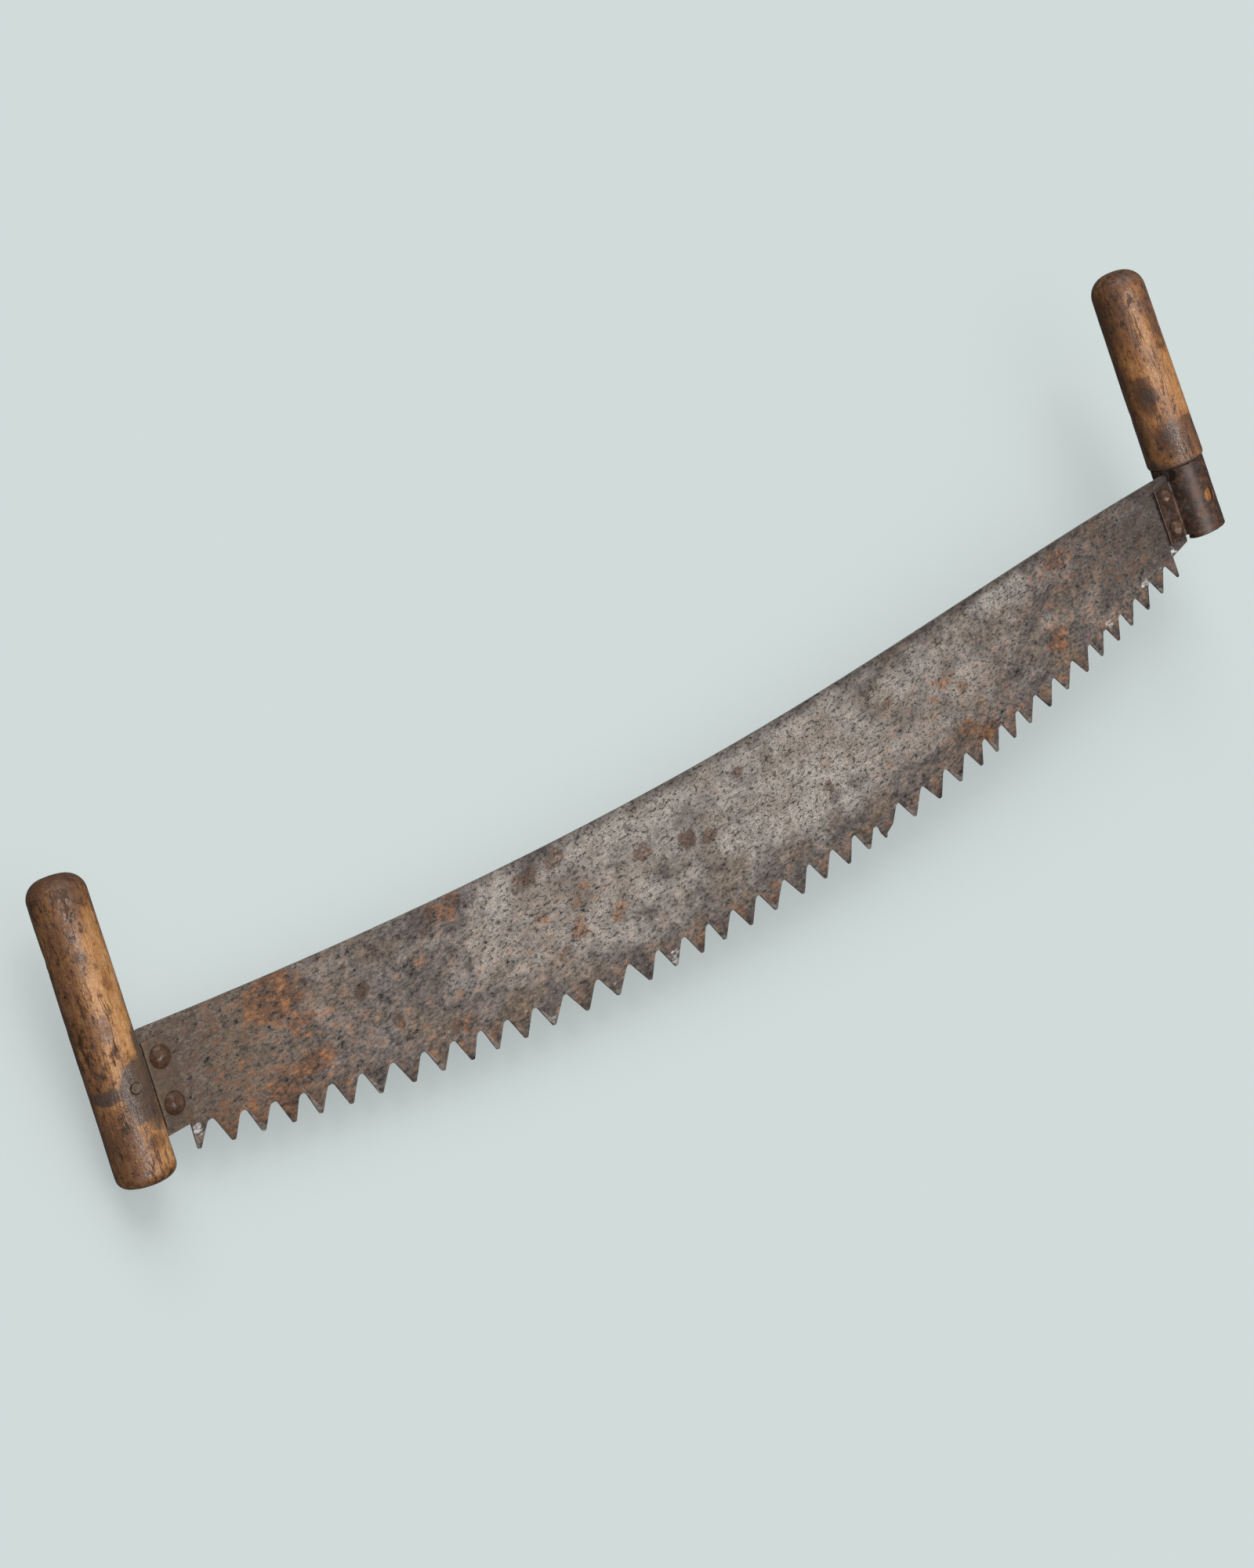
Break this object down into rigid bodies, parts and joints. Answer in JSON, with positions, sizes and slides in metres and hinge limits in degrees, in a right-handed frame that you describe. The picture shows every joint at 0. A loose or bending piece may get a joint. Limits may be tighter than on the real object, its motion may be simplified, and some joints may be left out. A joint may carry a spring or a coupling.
{
  "type": "two man crosscut saw",
  "caption": "Long crosscut saw with a bellied, toothed steel blade, a slotted wooden bar handle at one end and a pull-out wooden grip in a folded steel socket at the other.",
  "frame": {"origin": "middle of the footprint on the surface that the saw lies on, with the blade's plane level", "axes": "+X along the blade from the bar handle to the socket, +Y from the teeth towards the handle tops, +Z out of the blade's front face"},
  "size_m": [1.1189, 0.2932, 0.0456],
  "materials": {
    "blade_steel": "pitted grey steel with brown rust patches",
    "bar_wood": "worn golden brown wood, dark stains",
    "grip_wood": "worn dark brown wood",
    "fitting_iron": "reddish brown rusted sheet",
    "rivet_iron": "dark rusted iron"
  },
  "bodies": {
    "saw": {"blade": "blade_steel", "left_handle": "bar_wood", "left_handle_pin": "rivet_iron", "left_front_plate": "fitting_iron", "left_back_plate": "fitting_iron", "left_upper_rivet": "rivet_iron", "left_lower_rivet": "rivet_iron", "right_socket": "fitting_iron", "right_upper_rivet": "rivet_iron", "right_lower_rivet": "rivet_iron"},
    "grip": {"right_grip": "grip_wood"}
  },
  "joints": [
    {"name": "right_grip_slide", "type": "slide", "parent": "saw", "child": "grip", "axis": [-0.0663, 0.9978, 0], "range_m": [0, 0.057]}
  ]
}
